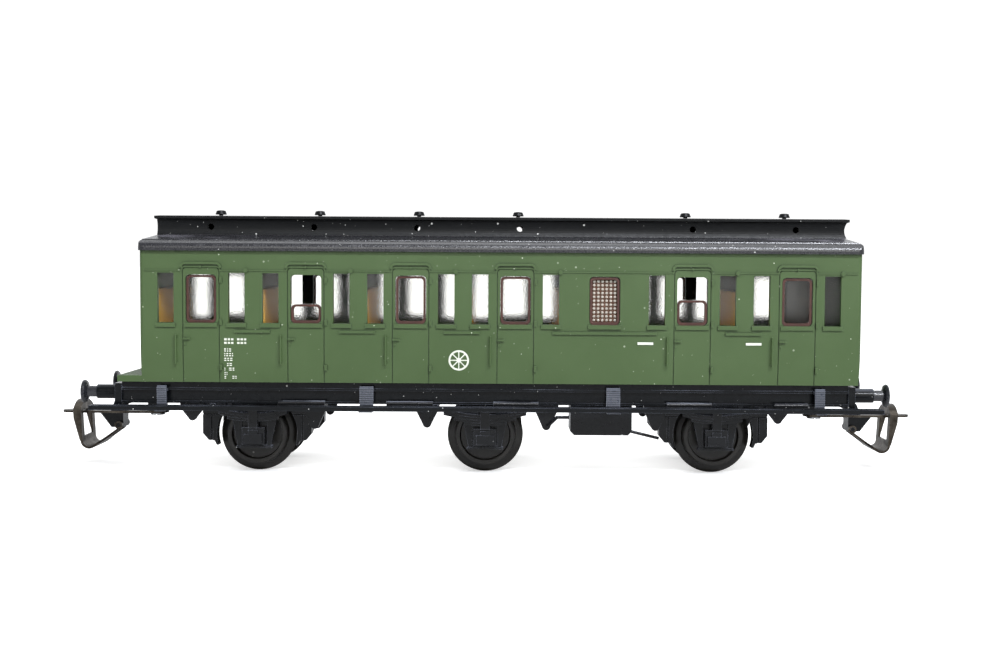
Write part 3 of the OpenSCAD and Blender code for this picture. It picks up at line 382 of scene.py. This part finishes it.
MATERIALS = {slot_of(material): material for material in (
    body_green(),
    painted_black("roof_grey", srgb(26, 26, 30), srgb(118, 116, 124), roughness=0.26, specular=0.7,
                  grain=(0.24, 0.022), dust=1.5, scuffed=roof_scuffs),
    painted_black("roof_black", srgb(15, 16, 17), srgb(76, 74, 74), roughness=0.36, specular=0.15,
                  grain=(0.3, 0.006), dust=2.0),
    painted_black("underframe_black", srgb(9, 11, 13), srgb(124, 129, 142), roughness=0.20, specular=0.20,
                  grain=(0.3, 0.004), dust=1.4, reach_mm=0.15, settled_and_lit=0.30),
    painted_black("gear_black", srgb(15, 16, 18), srgb(142, 146, 158), roughness=0.22, specular=0.26,
                  grain=(0.3, 0.003), dust=0.8, edge=0.65, reach_mm=0.14, settled_and_lit=0.65),
    painted_black("bracket_grey", srgb(78, 82, 92), srgb(176, 180, 192), roughness=0.30, specular=0.5,
                  grain=(0.25, 0.006), dust=0.6, edge=0.8),
    painted_black("buffer_dark", srgb(28, 29, 33), srgb(104, 106, 112), roughness=0.22, specular=0.7,
                  grain=(0.25, 0.004), dust=0.5),
    painted_black("wheel_black", srgb(24, 22, 19), srgb(84, 78, 72), roughness=0.32, specular=0.45,
                  grain=(0.25, 0.005), dust=0.5),
    window_clear(),
    window_patterned(),
    frame_brown(),
    moulded("insert_brown", srgb(40, 34, 24), srgb(52, 44, 32), pale=srgb(104, 88, 66)),
    moulded("bench_tan", srgb(204, 152, 52), srgb(214, 164, 62), pale=srgb(228, 192, 116)),
    moulded("plate_white", srgb(206, 210, 196), srgb(220, 224, 210), pale=srgb(240, 242, 234)),
    metal("weight_steel", srgb(120, 122, 126), srgb(84, 84, 86), roughness=0.40, brushed=(4, 1, 1)),
    metal("screw_steel", srgb(176, 178, 180), srgb(120, 120, 122), roughness=0.30),
    metal("coupling_steel", srgb(88, 82, 74), srgb(50, 45, 40), roughness=0.34, brushed=(1, 1, 3)),
    metal("axle_steel", srgb(150, 146, 138), srgb(96, 90, 82), roughness=0.32),
)}

for cad_node in nodes.values():
    cad_node.data.materials[0] = MATERIALS[slot_of(cad_node.data.materials[0])]


# ---- pieces the CAD model leaves out ----

wall_tree = BVHTree.FromObject(nodes["body_shell"], bpy.context.evaluated_depsgraph_get())
CAST_FROM = 1.0  # how far out the search for a wall starts
PAINT_LIFT = 0.015 * MM


def on_wall(side, x, z):
    """The point of a side's outer wall at x and z, just off its surface."""
    hit = wall_tree.ray_cast(Vector((x, side * CAST_FROM, z)), Vector((0, -side, 0)))[0]
    return Vector((x, hit.y + side * PAINT_LIFT, z))


def paint_patch(build, side, points):
    """One painted shape on a wall, from its outline's (x, z) points."""
    corners = [build.verts.new(on_wall(side, x, z)) for x, z in points]
    build.faces.new(corners if side < 0 else corners[::-1])


def finish_piece(name, build, slot_name):
    mesh = bpy.data.meshes.new(name)
    build.to_mesh(mesh)
    build.free()
    piece = bpy.data.objects.new(name, mesh)
    scene.collection.objects.link(piece)
    mesh.materials.append(MATERIALS[slot_name])
    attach(piece, COACH)
    return piece


# Rows of the data panel, from the top, in mm: height above the ground, height and widths of its marks.
PANEL_ROWS_MM = (
    (17.05, 0.72, (0.34, 0.30, 0.30, 0.0, 0.32, 0.34, 0.26)),
    (16.05, 0.42, (0.22, 0.16, 0.24)),
    (15.45, 0.42, (0.14, 0.24, 0.22, 0.14)),
    (14.85, 0.40, (0.26, 0.22, 0.30)),
    (14.20, 0.38, (0.0, 0.20, 0.30)),
    (13.60, 0.38, (0.12, 0.0, 0.34, 0.22)),
    (13.05, 0.36, (0.14, 0.10)),
    (12.55, 0.36, (0.20, 0.0, 0.0, 0.26, 0.18)),
)
PANEL_X = -33.55 * MM
MARK_GAP = 0.13 * MM
BLANK_MM = 0.2  # width of a mark that is left out, given as 0.0
DASH_SHARE = 0.36  # thickness of a dash, as a share of its mark's height


def dashes(x, z, width, height):
    """Two short dashes one above the other, so that a row looks printed from afar but spells nothing."""
    thick = height * DASH_SHARE
    for low in (z, z + height - thick):
        yield [(x, low), (x + width, low), (x + width, low + thick), (x, low + thick)]


def make_data_panels():
    build = bmesh.new()
    for side in SIDES:
        for z_mm, height_mm, widths_mm in PANEL_ROWS_MM:
            x = PANEL_X
            for width_mm in widths_mm:
                if width_mm:
                    for outline in dashes(x, z_mm * MM, width_mm * MM, height_mm * MM):
                        paint_patch(build, side, outline)
                x += (width_mm or BLANK_MM) * MM + MARK_GAP
    finish_piece("data_panels", build, "plate_white")


BADGE_X, BADGE_Z = -3.4 * MM, 15.1 * MM
BADGE_RIM, BADGE_RIM_INSIDE, BADGE_HUB = 1.32 * MM, 1.08 * MM, 0.30 * MM
BADGE_STEPS = 48
BADGE_SPOKES = 8
SPOKE_HALF_W = 0.07 * MM
SPOKE_FROM, SPOKE_TO = BADGE_HUB * 0.9, BADGE_RIM_INSIDE * 1.02
SAME_POINT = 0.0001 * MM


def make_wheel_badges():
    """A plain spoked wheel, painted in the middle of each wall."""
    build = bmesh.new()

    def at(radius, angle, across=0.0):
        """The point at a radius and angle, moved across the radius."""
        cos, sin = math.cos(angle), math.sin(angle)
        return (BADGE_X + radius * cos + across * sin, BADGE_Z + radius * sin - across * cos)

    for side in SIDES:
        for i in range(BADGE_STEPS):
            first, last = 2 * math.pi * i / BADGE_STEPS, 2 * math.pi * (i + 1) / BADGE_STEPS
            paint_patch(build, side, [at(BADGE_RIM_INSIDE, first), at(BADGE_RIM, first),
                                      at(BADGE_RIM, last), at(BADGE_RIM_INSIDE, last)])
            paint_patch(build, side, [at(0, first), at(BADGE_HUB, first), at(BADGE_HUB, last)])
        for i in range(BADGE_SPOKES):
            turn = 2 * math.pi * i / BADGE_SPOKES
            corners = ((SPOKE_FROM, SPOKE_HALF_W), (SPOKE_TO, SPOKE_HALF_W),
                       (SPOKE_TO, -SPOKE_HALF_W), (SPOKE_FROM, -SPOKE_HALF_W))
            paint_patch(build, side, [at(radius, turn, across) for radius, across in corners])
    bmesh.ops.remove_doubles(build, verts=build.verts, dist=SAME_POINT)
    finish_piece("wheel_badges", build, "plate_white")


PANE_CORNER = 0.4 * MM
KNOB_COLUMNS, KNOB_ROWS = 6, 11
KNOB_STEPS = 8  # mesh squares across a knob's cell
KNOB_HEIGHT = 0.16 * MM
KNOB_RADIUS_SQUARED = 0.17  # where the knob's cell is 1 wide


def knob_rise(i, k):
    """How high a mesh point stands on its round knob, from 0 to 1."""
    u, v = (i / KNOB_STEPS) % 1 - 0.5, (k / KNOB_STEPS) % 1 - 0.5
    return max(0.0, 1 - (u * u + v * v) / KNOB_RADIUS_SQUARED) ** 0.5


def in_pane(across, up, width, height):
    """Whether a place from 0 to 1 across and up lies inside the pane's rounded outline."""
    x, z = abs(across - 0.5) * width, abs(up - 0.5) * height
    past = Vector((x - width / 2 + PANE_CORNER, z - height / 2 + PANE_CORNER))
    return min(past) <= 0 or past.length <= PANE_CORNER


def make_patterned_panes():
    """The lavatory panes again, with their outer faces raised in rows of round knobs."""
    pane_node = nodes["toilet_panes"]
    points = [pane_node.matrix_world @ v.co for v in pane_node.data.vertices]
    low = Vector([min(p[i] for p in points) for i in range(3)])
    high = Vector([max(p[i] for p in points) for i in range(3)])
    width, height = high.x - low.x, high.z - low.z
    inner, outer = min(abs(p.y) for p in points), high.y
    across, up = KNOB_COLUMNS * KNOB_STEPS, KNOB_ROWS * KNOB_STEPS
    cells = [(i, k) for i in range(across) for k in range(up)
             if in_pane((i + 0.5) / across, (k + 0.5) / up, width, height)]
    build = bmesh.new()
    knob_layer = build.verts.layers.float.new("knob")
    for side in SIDES:
        front, back = {}, {}
        for i in range(across + 1):
            for k in range(up + 1):
                x, z = low.x + width * i / across, low.z + height * k / up
                rise = knob_rise(i, k)
                front[i, k] = build.verts.new((x, side * (outer + KNOB_HEIGHT * rise), z))
                front[i, k][knob_layer] = rise
                back[i, k] = build.verts.new((x, side * inner, z))
        for i, k in cells:
            for grid, flip in ((front, side < 0), (back, side > 0)):
                ring = [grid[i, k], grid[i + 1, k], grid[i + 1, k + 1], grid[i, k + 1]]
                build.faces.new(ring if flip else ring[::-1]).smooth = True
    bmesh.ops.delete(build, geom=[v for v in build.verts if not v.link_faces], context="VERTS")
    pane = finish_piece("patterned_panes", build, "window_patterned")
    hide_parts("toilet_panes")


make_data_panels()
make_wheel_badges()
make_patterned_panes()


# ---- floor, light and background ----

FLOOR_HALF = 4.0
SHADOW_REACH = 8 * MM
SHADOW_SAMPLES = 8


def make_floor():
    """White paper that looks white under any light, apart from a painted soft shadow close to what stands on
    it.
    """
    mesh = bpy.data.meshes.new("floor")
    corners = [(x * FLOOR_HALF, y * FLOOR_HALF, 0) for x, y in ((-1, -1), (1, -1), (1, 1), (-1, 1))]
    mesh.from_pydata(corners, [], [(0, 1, 2, 3)])
    floor = bpy.data.objects.new("floor", mesh)
    scene.collection.objects.link(floor)
    s = Surface("floor_paper", Roughness=0.9, Specular_IOR_Level=0.1, Emission_Color=(1.0, 1.0, 0.995, 1.0))
    s.colour(s.mix(s.noise(60), srgb(196, 196, 196), srgb(200, 200, 199)))
    open_above = s.add("ShaderNodeAmbientOcclusion", {"Distance": SHADOW_REACH}, samples=SHADOW_SAMPLES)
    # the glow dims where little is open above: a painted contact shadow
    glow = s.ramp(open_above.outputs["AO"], 0.3, 1.0, 0.42, 0.9)
    s.feed(s.shader.inputs["Emission Strength"], s.maths("MULTIPLY", s.looking(), glow))
    mesh.materials.append(s.material)


SKY_TINT = (0.97, 0.985, 1.0, 1.0)
BACKGROUND_LEVEL = 1.1


def make_world():
    """White behind everything that is looked at, and soft light that is strongest from behind."""
    world = bpy.data.worlds.new("studio")
    scene.world = world
    world.use_nodes = True
    world.node_tree.nodes.clear()
    graph = Graph(world.node_tree)
    axes = graph.axes(graph.add("ShaderNodeTexCoord").outputs["Generated"])
    by_height = graph.ramp(axes["Z"], -0.2, 1.0, 1.0, 0.75)
    from_behind = graph.ramp(axes["Y"], -0.8, 0.5, 0.22, 1.15)
    level = graph.maths("MULTIPLY", by_height, from_behind)
    light = graph.add("ShaderNodeBackground", {"Color": SKY_TINT, "Strength": level})
    seen = graph.add("ShaderNodeBackground", {"Color": WHITE, "Strength": BACKGROUND_LEVEL})
    inputs = {"Fac": graph.looking(), 1: light.outputs[0], 2: seen.outputs[0]}
    choice = graph.add("ShaderNodeMixShader", inputs)
    graph.add("ShaderNodeOutputWorld", {"Surface": choice.outputs["Shader"]})


# Each lamp's name, place, width and height, power in watts, and colour. All point at the coach's middle.
SOFTBOXES = (
    ("softbox_front", (0.10, -0.50, 0.22), (0.60, 0.22), 1.2, (1.0, 0.99, 0.96)),
    ("softbox_strip", (0.16, -0.42, 0.40), (0.40, 0.04), 3.9, (0.90, 0.93, 1.0)),
    ("softbox_top", (0.05, 0.05, 0.55), (0.55, 0.30), 1.2, (0.95, 0.97, 1.0)),
)


def make_softboxes():
    coach_middle = (cad_low + cad_high) / 2
    for name, place, size, power, colour in SOFTBOXES:
        data = bpy.data.lights.new(name, "AREA")
        data.shape = "RECTANGLE"
        data.size, data.size_y = size
        data.energy = power
        data.color = colour
        lamp = bpy.data.objects.new(name, data)
        lamp.location = place
        lamp.rotation_euler = (coach_middle - Vector(place)).to_track_quat("-Z", "Y").to_euler()
        scene.collection.objects.link(lamp)


make_floor()
make_world()
make_softboxes()

scene.view_settings.view_transform = "Standard"
scene.view_settings.look = "None"
